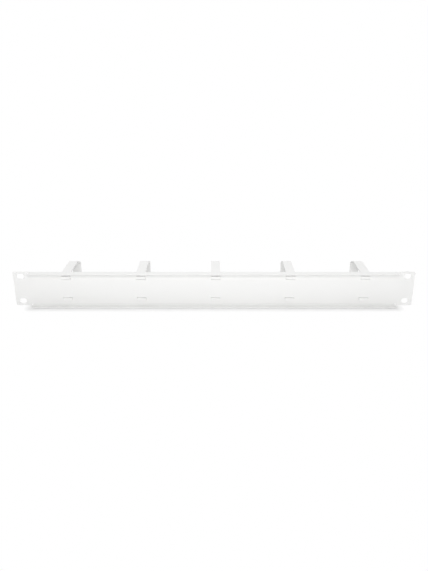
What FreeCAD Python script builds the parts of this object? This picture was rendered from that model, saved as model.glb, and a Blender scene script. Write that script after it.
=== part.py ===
import FreeCAD, Part
import math
import os

Vector = FreeCAD.Vector

# A one-unit cable manager for a 19 inch rack: a folded sheet-steel panel that carries a row of
# bent strip rings. All sizes are in millimetres.
# X runs along the panel, Y points from the rack towards the rings, and Z is up. The origin is the
# middle of the face that lies against the rack's rails.

# Panel
unit_height = 44.45          # height that a rack gives to one unit
unit_play = 0.8              # what the panel leaves free of it
panel_length = 482.6
sheet = 1.2                  # gauge of the panel
bend_radius = 0.8            # inside radius of both long folds
flange_depth = 10.5          # over the panel's front face and the flange's free edge
ear_width = 20.3             # flat end of the panel, past the flanges
ear_corner_radius = 2.0
flange_corner_radius = 1.5
relief_width = 1.5           # notch that lets each flange fold clear of the ear
relief_margin = 0.5          # how far the notch runs past the fold

# Slots for the rack screws
slot_inset = 8.75            # from the panel's end to the slot's middle
unit_slot_gap = 12.7         # from a panel's upper slot to the lower one of the panel above it
slot_length = 8.4
slot_height = 6.5

# Rings
ring_count = 5
ring_margin = 41.0           # from a flange's end to the middle of the outer ring, before the shift
ring_row_shift = 2.0         # the row of rings sits this far off the panel's middle
ring_gauge = 1.5
ring_width = 11.0
ring_inset = 1.8             # from the panel's long edge in to the arm's outer face
ring_reach = 58.0            # from the panel's front face to the nose
shoulder_angle = 22.0        # how steeply the arms close in before the nose, in degrees
shoulder_run = 13.0          # flat stretch of a shoulder
shoulder_radius = 6.0        # inside radius where an arm turns into its shoulder
nose_radius = 2.0            # inside radius where a shoulder turns into the nose
heel_radius = 3.0            # inside radius where an arm turns down to its seat
seat_run = 1.5               # flat stretch of the strip on the panel's front face
tab_run = 2.2                # flat stretch of the tab behind the panel
tab_corner_radius = 1.5

# Clearances between a ring and the panel
tab_gap = 0.1                # between the tab and the panel's rear face
edge_gap = 0.2               # between the fold and the slot's edge that it hugs
entry_gap = 0.5              # what is left open beside the fold, for putting the tab through
side_gap = 0.2               # on each side of the strip

# Worked out from the sizes above
panel_height = unit_height - unit_play
slot_spacing = unit_height - unit_slot_gap
flange_length = panel_length - 2 * ear_width
ring_pitch = (flange_length - 2 * ring_margin) / (ring_count - 1)
ring_height = panel_height - 2 * ring_inset
hook_radius = (sheet + tab_gap) / 2
hook_height = ring_height / 2 - heel_radius - ring_gauge - seat_run
hook_drop = hook_radius + ring_gauge


def bent_section(start, heading, steps, gauge):
    # The section of a bent sheet, in the YZ plane. It is walked along the sheet's middle line:
    # each step is a straight run, then a turn in degrees (left is positive) with its inside radius.
    middle = Vector(0, *start)
    sides = {1: [], -1: []}

    def across(degrees):
        angle = math.radians(degrees)
        return Vector(0, -math.sin(angle), math.cos(angle))

    def along(degrees):
        return across(degrees - 90)

    for run, turn, inside_radius in steps:
        end = middle + along(heading) * run
        for side, edges in sides.items():
            offset = across(heading) * (side * gauge / 2)
            edges.append(Part.LineSegment(middle + offset, end + offset).toShape())
        middle = end
        if not turn:
            continue
        hand = 1 if turn > 0 else -1
        centre = middle + across(heading) * (hand * (inside_radius + gauge / 2))
        for side, edges in sides.items():
            radius = inside_radius if side == hand else inside_radius + gauge
            points = [centre - across(heading + turn * part) * (hand * radius) for part in (0, 0.5, 1)]
            edges.append(Part.Arc(*points).toShape())
        heading += turn
        middle = centre - across(heading) * (hand * (inside_radius + gauge / 2))

    left, right = sides[1], sides[-1]
    first_cap = Part.makeLine(left[0].firstVertex(True).Point, right[0].firstVertex(True).Point)
    last_cap = Part.makeLine(left[-1].lastVertex(True).Point, right[-1].lastVertex(True).Point)
    outline = Part.Wire(Part.__sortEdges__(left + right + [first_cap, last_cap]))
    return Part.Face(outline)


def extruded(section, middle_x, width):
    section.translate(Vector(middle_x - width / 2, 0, 0))
    return section.extrude(Vector(width, 0, 0))


def edges_along(shape, axis, here):
    # Straight edges that run along one axis and whose middle point passes the test.
    found = []
    for edge in shape.Edges:
        ends = edge.lastVertex().Point - edge.firstVertex().Point
        if ends.Length > 0 and abs(abs(ends.normalize().dot(axis)) - 1) < 1e-6:
            if here(edge.CenterOfMass):
                found.append(edge)
    return found


def block(x, y, z):
    # A box between pairs of limits.
    size = [high - low for low, high in (x, y, z)]
    return Part.makeBox(*size, Vector(x[0], y[0], z[0]))


def ring_places():
    first = ring_row_shift - ring_pitch * (ring_count - 1) / 2
    return [first + ring_pitch * place for place in range(ring_count)]


def channel():
    # The web with its two flanges, which fold towards the rack.
    flange_run = flange_depth - bend_radius - sheet
    web_run = panel_height - 2 * (bend_radius + sheet)
    start = (sheet - flange_depth, (panel_height - sheet) / 2)
    steps = [(flange_run, -90, bend_radius), (web_run, -90, bend_radius), (flange_run, 0, 0)]
    folded = extruded(bent_section(start, 0, steps, sheet), 0, flange_length)
    free_edge = sheet - flange_depth + sheet / 2
    corners = edges_along(folded, Vector(0, 0, 1), lambda at: at.y < free_edge)
    return folded.makeFillet(flange_corner_radius, corners)


def ear(end):
    # One flat end of the panel, with its outer corners rounded and a notch beside each flange.
    root, tip = flange_length / 2, panel_length / 2
    plate = block(sorted((end * root, end * tip)), (0, sheet), (-panel_height / 2, panel_height / 2))
    corners = edges_along(plate, Vector(0, 1, 0), lambda at: abs(at.x) > (root + tip) / 2)
    plate = plate.makeFillet(ear_corner_radius, corners)
    notch_floor = panel_height / 2 - sheet - bend_radius - relief_margin
    for side in (-1, 1):
        notch_x = sorted((end * root, end * (root + relief_width)))
        notch_z = sorted((side * notch_floor, side * panel_height))
        plate = plate.cut(block(notch_x, (-sheet, 2 * sheet), notch_z))
    return plate


def rack_slot(x, z):
    # A long round-ended hole through an ear.
    radius = slot_height / 2
    reach = slot_length / 2 - radius
    hole = block((x - reach, x + reach), (-sheet, 2 * sheet), (z - radius, z + radius))
    for side in (-1, 1):
        end = Vector(x + side * reach, -sheet, z)
        hole = hole.fuse(Part.makeCylinder(radius, 3 * sheet, end, Vector(0, 1, 0)))
    return hole.removeSplitter()


def tab_slot(x, side):
    # The slot that one end of a ring goes through.
    half_width = ring_width / 2 + side_gap
    outer = hook_height + edge_gap
    inner = hook_height - hook_drop - entry_gap
    return block((x - half_width, x + half_width), (-sheet, 2 * sheet), sorted((side * inner, side * outer)))


def rack_panel():
    slot_x = panel_length / 2 - slot_inset
    openings = [rack_slot(end * slot_x, side * slot_spacing / 2) for end in (-1, 1) for side in (-1, 1)]
    openings += [tab_slot(x, side) for x in ring_places() for side in (-1, 1)]
    whole = channel().multiFuse([ear(-1), ear(1)]).removeSplitter()
    return whole.cut(openings).removeSplitter()


def cable_ring(x):
    # One strip, bent into a ring whose arms close in before the nose. Each end comes down the
    # panel's front face, goes back through its slot and folds over the panel behind it, so that
    # the sheet is gripped between seat and tab.
    slope = math.radians(shoulder_angle)
    nose_angle = 90 - shoulder_angle
    shoulder_bend = shoulder_radius + ring_gauge / 2
    nose_bend = nose_radius + ring_gauge / 2
    reach = shoulder_bend * math.sin(slope) + shoulder_run * math.cos(slope) + nose_bend * (1 - math.sin(slope))
    drop = shoulder_bend * (1 - math.cos(slope)) + shoulder_run * math.sin(slope) + nose_bend * math.cos(slope)
    arm_run = ring_reach - (heel_radius + ring_gauge) - reach - ring_gauge / 2
    nose_run = ring_height - ring_gauge - 2 * drop
    upper_half = [
        (tab_run, 180, hook_radius),
        (seat_run, -90, heel_radius),
        (arm_run, -shoulder_angle, shoulder_radius),
        (shoulder_run, -nose_angle, nose_radius),
    ]
    lower_half = [
        (nose_run, -nose_angle, nose_radius),
        (shoulder_run, -shoulder_angle, shoulder_radius),
        (arm_run, -90, heel_radius),
        (seat_run, 180, hook_radius),
        (tab_run, 0, 0),
    ]
    start = (-tab_gap - ring_gauge / 2, hook_height + tab_run)
    ring = extruded(bent_section(start, -90, upper_half + lower_half, ring_gauge), x, ring_width)
    behind = -tab_gap
    corners = edges_along(ring, Vector(0, 1, 0), lambda at: at.y < behind)
    return ring.makeFillet(tab_corner_radius, corners)


os.makedirs("parts", exist_ok=True)
pieces = {"rack_panel": rack_panel()}
for number, x in enumerate(ring_places(), start=1):
    pieces[f"cable_ring_{number}"] = cable_ring(x)
for name, shape in pieces.items():
    solid = shape.Solids[0]
    solid.exportStep(f"parts/{name}.step")
    print(name, "solids", len(shape.Solids), "valid", shape.isValid(), "volume", round(shape.Volume, 1))
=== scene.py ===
import math

import bpy
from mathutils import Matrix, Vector


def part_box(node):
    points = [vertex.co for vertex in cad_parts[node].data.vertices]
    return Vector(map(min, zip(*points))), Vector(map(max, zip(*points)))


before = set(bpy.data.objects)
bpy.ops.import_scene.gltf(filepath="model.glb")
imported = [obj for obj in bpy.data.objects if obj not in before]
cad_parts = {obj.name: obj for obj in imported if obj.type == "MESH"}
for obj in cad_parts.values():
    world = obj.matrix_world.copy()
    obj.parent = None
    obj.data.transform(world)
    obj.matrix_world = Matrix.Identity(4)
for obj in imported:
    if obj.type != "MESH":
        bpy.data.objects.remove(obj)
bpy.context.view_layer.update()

# A one-unit cable manager for a 19 inch rack, white powder coat on folded sheet steel, seen from
# its rear and a little from above. Everything is in metres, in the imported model's own frame.
mm = 0.001
panelLow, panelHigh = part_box("rack_panel")
ringNames = sorted(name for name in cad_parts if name.startswith("cable_ring"))
print("frame:", len(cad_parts), "nodes,", len(ringNames), "rings")


# Colours and nodes
def linearColour(hexColour):
    channels = [int(hexColour[start:start + 2], 16) / 255 for start in (1, 3, 5)]
    curved = [c / 12.92 if c <= 0.04045 else ((c + 0.055) / 1.055) ** 2.4 for c in channels]
    return (*curved, 1.0)


def addNode(tree, kind, place, settings=None, links=None):
    # settings: what is written on the node or its sockets; links: which output feeds which socket
    node = tree.nodes.new(kind)
    node.location = place
    for name, value in (settings or {}).items():
        if isinstance(name, int) or name in node.inputs:
            node.inputs[name].default_value = value
        else:
            setattr(node, name, value)
    for name, source in (links or {}).items():
        tree.links.new(source, node.inputs[name])
    return node


def outsideBox(tree, place, low, high, row):
    # how far a point lies outside a box
    steps = [("SUBTRACT", (low + high) / 2), ("ABSOLUTE", None), ("SUBTRACT", (high - low) / 2),
             ("MAXIMUM", (0, 0, 0))]
    vector = place
    for number, (operation, other) in enumerate(steps):
        settings = {"operation": operation}
        if other is not None:
            settings[1] = other
        spot = (-1220 + 160 * number, row)
        vector = addNode(tree, "ShaderNodeVectorMath", spot, settings, {0: vector}).outputs["Vector"]
    return addNode(tree, "ShaderNodeVectorMath", (-580, row), {"operation": "LENGTH"},
                   {0: vector}).outputs["Value"]


# Powder-coated sheet steel: a polyester powder, sprayed on and baked at 200 degrees. The eye gets
# an even white skin with a soft, slightly milky sheen and the faint ripple that painters call
# orange peel. The powder draws back from cut edges, so they look a touch greyer.
coat = {
    "colour": "#F1F1F0",
    "thinColour": "#E4E4E2",      # over a cut edge
    "roughness": 0.42,
    "roughnessSwing": 0.05,       # between well and less well levelled patches
    "ior": 1.5,                   # polyester resin
    "peelSize": 1.6 * mm,         # from crest to crest; real peel is about 0.8 mm, too fine to show here
    "peelDepth": 0.006 * mm,
    "peelNoise": {"Detail": 1.5, "Roughness": 0.45},
    "waveSize": 22 * mm,          # slow changes in film thickness
    "waveDepth": 0.02 * mm,
    "waveNoise": {"Detail": 2.0, "Roughness": 0.5},
    "waveRange": (0.3, 0.7),      # the lows and highs that the wave's noise mostly keeps to
    "edgeReach": 0.35 * mm,       # how far the thin film runs in from an edge
    "edgeSamples": 4,
    "edgeTurn": (0.99, 0.8),      # agreement of rounded and flat normal where thinning starts and is full
    "patternStep": 0.37,          # the pattern lies this much further on for each piece
    "patternLean": (1.0, 0.7, 0.3),
}


def powderCoat(name, settings, number):
    material = bpy.data.materials.new(name)
    material.use_nodes = True
    tree = material.node_tree
    tree.nodes.clear()
    shift = number * settings["patternStep"]
    place = addNode(tree, "ShaderNodeTexCoord", (-1200, 0)).outputs["Object"]
    moved = addNode(tree, "ShaderNodeMapping", (-1020, 0),
                    {"Location": [shift * lean for lean in settings["patternLean"]]},
                    {"Vector": place}).outputs["Vector"]
    peel = addNode(tree, "ShaderNodeTexNoise", (-800, -320),
                   {"Scale": 1 / settings["peelSize"], **settings["peelNoise"]}, {"Vector": moved})
    wave = addNode(tree, "ShaderNodeTexNoise", (-800, -60),
                   {"Scale": 1 / settings["waveSize"], **settings["waveNoise"]}, {"Vector": moved})
    waveBump = addNode(tree, "ShaderNodeBump", (-560, -200), {"Distance": settings["waveDepth"]},
                       {"Height": wave.outputs["Fac"]})
    peelBump = addNode(tree, "ShaderNodeBump", (-360, -320), {"Distance": settings["peelDepth"]},
                       {"Height": peel.outputs["Fac"], "Normal": waveBump.outputs["Normal"]})
    # the film is thin where the rounded normal leaves the face's own
    rounded = addNode(tree, "ShaderNodeBevel", (-1020, 300),
                      {"samples": settings["edgeSamples"], "Radius": settings["edgeReach"]})
    faceNormal = addNode(tree, "ShaderNodeNewGeometry", (-1020, 520)).outputs["Normal"]
    turned = addNode(tree, "ShaderNodeVectorMath", (-800, 400), {"operation": "DOT_PRODUCT"},
                     {0: rounded.outputs["Normal"], 1: faceNormal})
    thinStart, thinFull = settings["edgeTurn"]
    thin = addNode(tree, "ShaderNodeMapRange", (-600, 400),
                   {"From Min": thinStart, "From Max": thinFull, "To Min": 0.0, "To Max": 1.0},
                   {"Value": turned.outputs["Value"]})
    colour = addNode(tree, "ShaderNodeMix", (-380, 300),
                     {"data_type": "RGBA", 6: linearColour(settings["colour"]),
                      7: linearColour(settings["thinColour"])}, {0: thin.outputs["Result"]})
    waveLow, waveHigh = settings["waveRange"]
    rough = addNode(tree, "ShaderNodeMapRange", (-380, 60),
                    {"From Min": waveLow, "From Max": waveHigh,
                     "To Min": settings["roughness"] - settings["roughnessSwing"],
                     "To Max": settings["roughness"] + settings["roughnessSwing"]},
                    {"Value": wave.outputs["Fac"]})
    shader = addNode(tree, "ShaderNodeBsdfPrincipled", (-120, 100), {"IOR": settings["ior"], "Metallic": 0.0},
                     {"Base Color": colour.outputs[2], "Roughness": rough.outputs["Result"],
                      "Normal": peelBump.outputs["Normal"]})
    addNode(tree, "ShaderNodeOutputMaterial", (160, 100), links={"Surface": shader.outputs["BSDF"]})
    return material


# Edges: the mill and the coat leave every cut edge with a small round
edges = {
    "joinReach": 0.001 * mm,           # corners closer than this are one corner
    "round": 0.2 * mm,
    "segments": 2,
    "flatAngle": math.radians(0.5),    # triangles of one flat face are joined below this
    "cutAngle": math.radians(45),      # edges sharper than this are rounded
    "flatWeight": 50,                  # how much a large face counts in the shading beside a small one
}


def roundEdges(node, settings):
    weld = node.modifiers.new("joinCorners", "WELD")
    weld.merge_threshold = settings["joinReach"]
    flat = node.modifiers.new("joinFlats", "DECIMATE")
    flat.decimate_type = "DISSOLVE"
    flat.angle_limit = settings["flatAngle"]
    bevel = node.modifiers.new("roundEdges", "BEVEL")
    bevel.width = settings["round"]
    bevel.segments = settings["segments"]
    bevel.limit_method = "ANGLE"
    bevel.angle_limit = settings["cutAngle"]
    bevel.use_clamp_overlap = False
    bevel.loop_slide = False
    shading = node.modifiers.new("evenShading", "WEIGHTED_NORMAL")
    shading.weight = settings["flatWeight"]
    shading.keep_sharp = False


for number, name in enumerate(["rack_panel"] + ringNames):
    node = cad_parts[name]
    node.data.materials.clear()
    node.data.materials.append(powderCoat(f"powderCoat_{name}", coat, number))
    roundEdges(node, edges)
print("coat and edges:", len(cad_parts), "pieces")


# Floor and light
studio = {
    "floorColour": "#FFFFFF",
    "floorSize": 6.0,
    "shadowReach": (0.0, 0.010),   # the shadow shows whole up to here, and has faded into white by there
    # the part is heavier in front and tips onto the rings' lower arms, so the floor leans in its
    # frame and the lower flange's free edge stands about 0.36 mm clear. The floor is laid against
    # the lower fold; the ears, which would carry the part, sink into it by 0.07 mm
    "restTilt": math.radians(2.38),
    "restLine": -0.7 * mm,        # where the floor meets the fold, along Y
    "earWidth": 20.3 * mm,        # the ears have no flange, so hardly any shadow lies under them
    "surround": 0.44,
    "white": 1.0,                 # the strength that shows as pure white
    # the front lamp is small and low; its mirror image would burn out the flat arms, seen from
    # the rings' side, so it has none
    "front": {"at": (0.0, -0.79, 0.435), "size": (0.4, 0.25), "power": 3.55, "mirrored": False},
    "top": {"at": (0.0, 0.40, 0.85), "size": (1.0, 0.5), "power": 3.9, "mirrored": True},
}


def seenRays(tree, row):
    # 1 for what the eye meets, straight or mirrored or through glass, and 0 for light on its way
    rays = addNode(tree, "ShaderNodeLightPath", (-900, row))
    seen = addNode(tree, "ShaderNodeMath", (-720, row), {"operation": "MAXIMUM"},
                   {0: rays.outputs["Is Camera Ray"], 1: rays.outputs["Is Glossy Ray"]})
    return addNode(tree, "ShaderNodeMath", (-560, row), {"operation": "MAXIMUM"},
                   {0: seen.outputs["Value"], 1: rays.outputs["Is Transmission Ray"]}).outputs["Value"]


def makeFloor(settings, panelBox, ringsBox):
    # a white board; away from the panel and the rings the eye meets plain white in its place
    half = settings["floorSize"] / 2
    slope = math.tan(settings["restTilt"])
    corners = []
    for x, y in ((-half, -half), (half, -half), (half, half), (-half, half)):
        corners.append((x, y, panelBox[0].z + (y - settings["restLine"]) * slope))
    mesh = bpy.data.meshes.new("floor")
    mesh.from_pydata(corners, [], [(0, 1, 2, 3)])
    floor = bpy.data.objects.new("floor", mesh)
    bpy.context.scene.collection.objects.link(floor)
    material = bpy.data.materials.new("paintedBoard")
    material.use_nodes = True
    tree = material.node_tree
    tree.nodes.clear()
    place = addNode(tree, "ShaderNodeTexCoord", (-1400, 0)).outputs["Object"]
    fromPanel = outsideBox(tree, place, *panelBox, 0)
    fromRings = outsideBox(tree, place, *ringsBox, -220)
    distance = addNode(tree, "ShaderNodeMath", (-500, -100), {"operation": "MINIMUM"},
                       {0: fromPanel, 1: fromRings})
    near, far = settings["shadowReach"]
    fade = addNode(tree, "ShaderNodeMapRange", (-420, 0),
                   {"interpolation_type": "SMOOTHSTEP", "From Min": near, "From Max": far},
                   {"Value": distance.outputs["Value"]})
    diffuse = addNode(tree, "ShaderNodeBsdfDiffuse", (-100, 100),
                      {"Color": linearColour(settings["floorColour"])})
    white = addNode(tree, "ShaderNodeEmission", (80, 0), {"Strength": settings["white"]})
    seenFade = addNode(tree, "ShaderNodeMath", (-100, -60), {"operation": "MULTIPLY"},
                       {0: fade.outputs["Result"], 1: seenRays(tree, 300)})
    shown = addNode(tree, "ShaderNodeMixShader", (260, 100), links={
        0: seenFade.outputs["Value"], 1: diffuse.outputs["BSDF"], 2: white.outputs["Emission"]})
    addNode(tree, "ShaderNodeOutputMaterial", (440, 100), links={"Surface": shown.outputs["Shader"]})
    mesh.materials.append(material)


def makeSurround(settings):
    world = bpy.data.worlds.new("studio")
    bpy.context.scene.world = world
    world.use_nodes = True
    tree = world.node_tree
    tree.nodes.clear()
    strength = addNode(tree, "ShaderNodeMapRange", (-260, 200),
                       {"To Min": settings["surround"], "To Max": settings["white"]},
                       {"Value": seenRays(tree, 200)})
    sky = addNode(tree, "ShaderNodeBackground", (-60, 200), {"Color": (1, 1, 1, 1)},
                  {"Strength": strength.outputs["Result"]})
    addNode(tree, "ShaderNodeOutputWorld", (140, 200), links={"Surface": sky.outputs["Background"]})


def makeLamp(name, settings, target):
    data = bpy.data.lights.new(name, "AREA")
    data.shape = "RECTANGLE"
    data.size, data.size_y = settings["size"]
    data.energy = settings["power"]
    lamp = bpy.data.objects.new(name, data)
    bpy.context.scene.collection.objects.link(lamp)
    lamp.location = settings["at"]
    lamp.rotation_euler = (target - lamp.location).to_track_quat("-Z", "Y").to_euler()
    lamp.visible_glossy = settings["mirrored"]


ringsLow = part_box(ringNames[0])[0]
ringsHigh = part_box(ringNames[-1])[1]
foldEnd = Vector((studio["earWidth"], 0, 0))
makeFloor(studio, (panelLow + foldEnd, panelHigh - foldEnd), (ringsLow, ringsHigh))
makeSurround(studio)
for lampName in ("front", "top"):
    makeLamp(lampName, studio[lampName], Vector((0, 0, 0)))
print("studio: floor, surround and two lamps")


# Camera, as the photograph was taken: square on to the rear, a little above, close enough that
# the rings' sides show
camera = {
    "distance": 705 * mm,         # from the middle of the panel's rear face
    "elevation": 22.4,            # in degrees
    "imageHeight": 571,           # this and the next two are the photograph's, in pixels
    "panelWidth": 398.8,
    "panelRow": 288.7,            # the row that the panel's middle lies on
    "sensor": 36.0,
}


def makeCamera(settings):
    length = panelHigh.x - panelLow.x
    focalPixels = settings["panelWidth"] * settings["distance"] / length
    data = bpy.data.cameras.new("camera")
    data.sensor_fit = "VERTICAL"
    data.sensor_height = settings["sensor"]
    data.lens = focalPixels * settings["sensor"] / settings["imageHeight"]
    view = bpy.data.objects.new("camera", data)
    bpy.context.scene.collection.objects.link(view)
    angle = math.radians(settings["elevation"])
    view.location = Vector((0, -math.cos(angle), math.sin(angle))) * settings["distance"]
    # the panel's middle lies a few pixels under the image's middle, so the camera looks a little above it
    down = math.atan((settings["panelRow"] - settings["imageHeight"] / 2) / focalPixels)
    view.rotation_euler = (math.pi / 2 - angle + down, 0, 0)
    bpy.context.scene.camera = view


makeCamera(camera)
bpy.context.scene.view_settings.view_transform = "Standard"
print("camera set")
